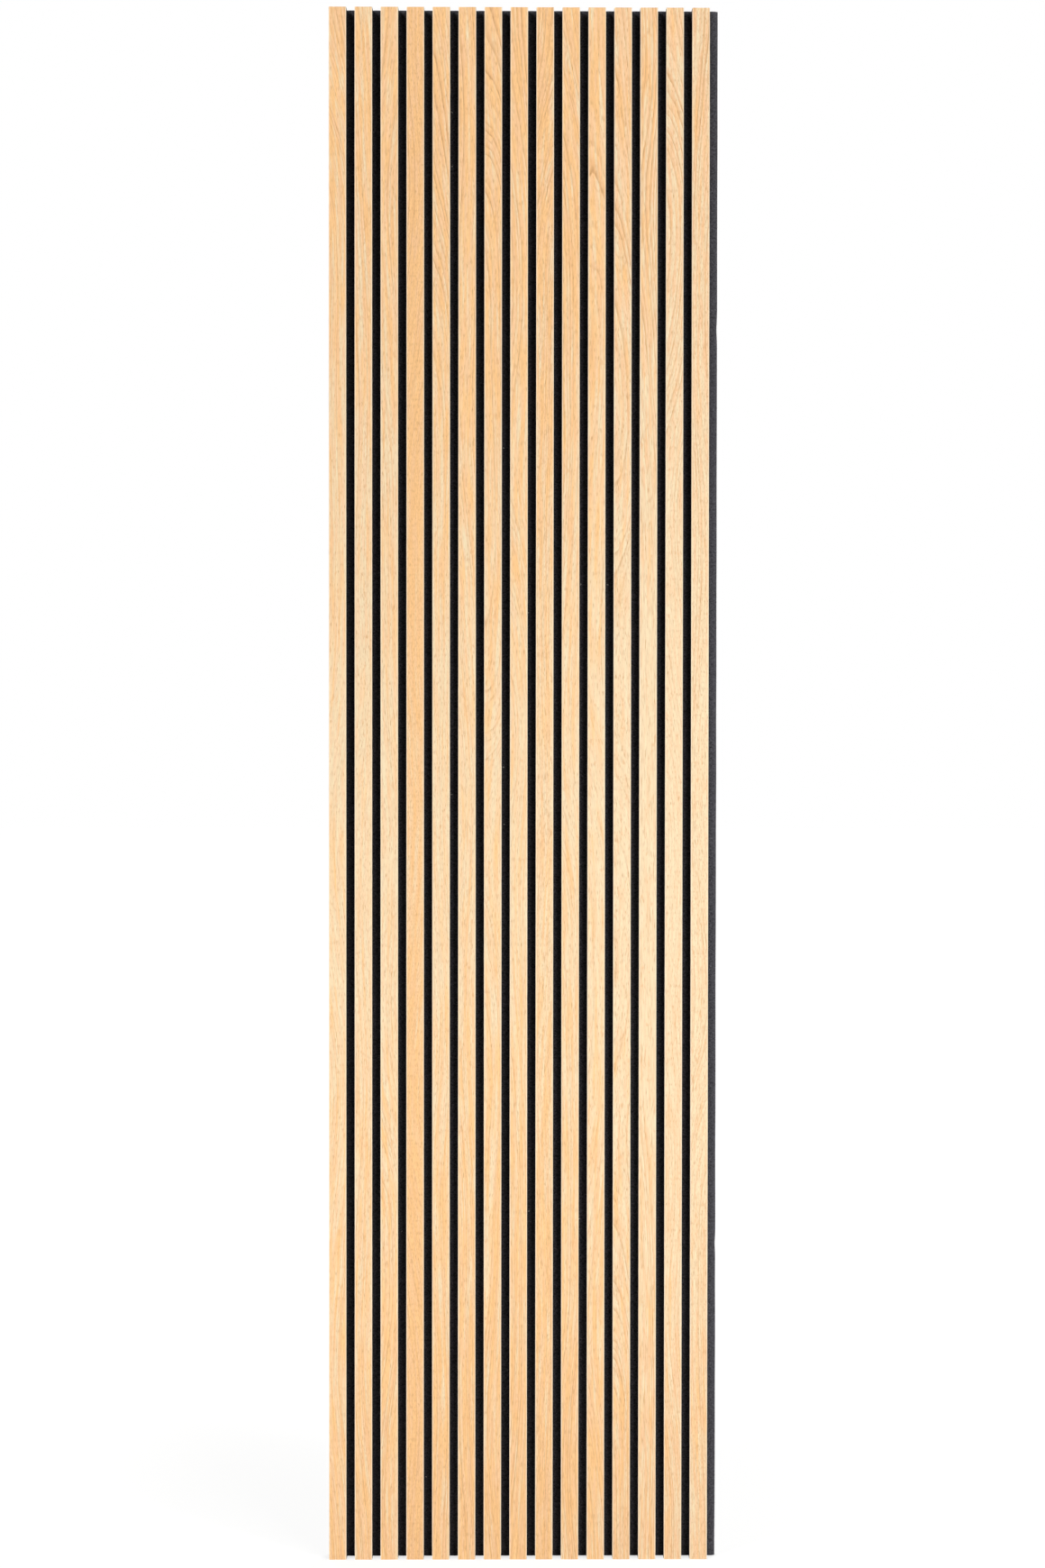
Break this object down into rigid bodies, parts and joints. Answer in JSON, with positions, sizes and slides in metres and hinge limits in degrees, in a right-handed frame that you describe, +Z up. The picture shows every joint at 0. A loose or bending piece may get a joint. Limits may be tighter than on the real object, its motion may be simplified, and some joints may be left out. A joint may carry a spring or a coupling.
{
  "type": "acoustic slat wall panel",
  "caption": "Tall wall panel of narrow upright oak-faced fibreboard slats on a black felt sheet, with open grooves between them, for lining a wall and damping sound.",
  "frame": {"origin": "on the wall, at the middle of the felt's lower back edge", "axes": "+X across the panel, to the right as seen from the room; +Y into the wall; +Z up the slats; the room is on the -Y side"},
  "size_m": [0.6, 0.021, 2.4],
  "materials": {
    "oak_veneer": "pale oak veneer, sanded, matt clear finish",
    "black_fibreboard": "through-dyed black fibreboard, sawn edges, matt",
    "black_felt": "needled polyester felt, black with a slight grey fleck",
    "staple_steel": "galvanised staple wire"
  },
  "bodies": {
    "root": {"felt_backing": "black_felt", "slat_core_01": "black_fibreboard", "slat_veneer_01": "oak_veneer", "slat_core_02": "black_fibreboard", "slat_veneer_02": "oak_veneer", "slat_core_03": "black_fibreboard", "slat_veneer_03": "oak_veneer", "slat_core_04": "black_fibreboard", "slat_veneer_04": "oak_veneer", "slat_core_05": "black_fibreboard", "slat_veneer_05": "oak_veneer", "slat_core_06": "black_fibreboard", "slat_veneer_06": "oak_veneer", "slat_core_07": "black_fibreboard", "slat_veneer_07": "oak_veneer", "slat_core_08": "black_fibreboard", "slat_veneer_08": "oak_veneer", "slat_core_09": "black_fibreboard", "slat_veneer_09": "oak_veneer", "slat_core_10": "black_fibreboard", "slat_veneer_10": "oak_veneer", "slat_core_11": "black_fibreboard", "slat_veneer_11": "oak_veneer", "slat_core_12": "black_fibreboard", "slat_veneer_12": "oak_veneer", "slat_core_13": "black_fibreboard", "slat_veneer_13": "oak_veneer", "slat_core_14": "black_fibreboard", "slat_veneer_14": "oak_veneer", "slat_core_15": "black_fibreboard", "slat_veneer_15": "oak_veneer", "staples": "staple_steel"}
  },
  "joints": []
}
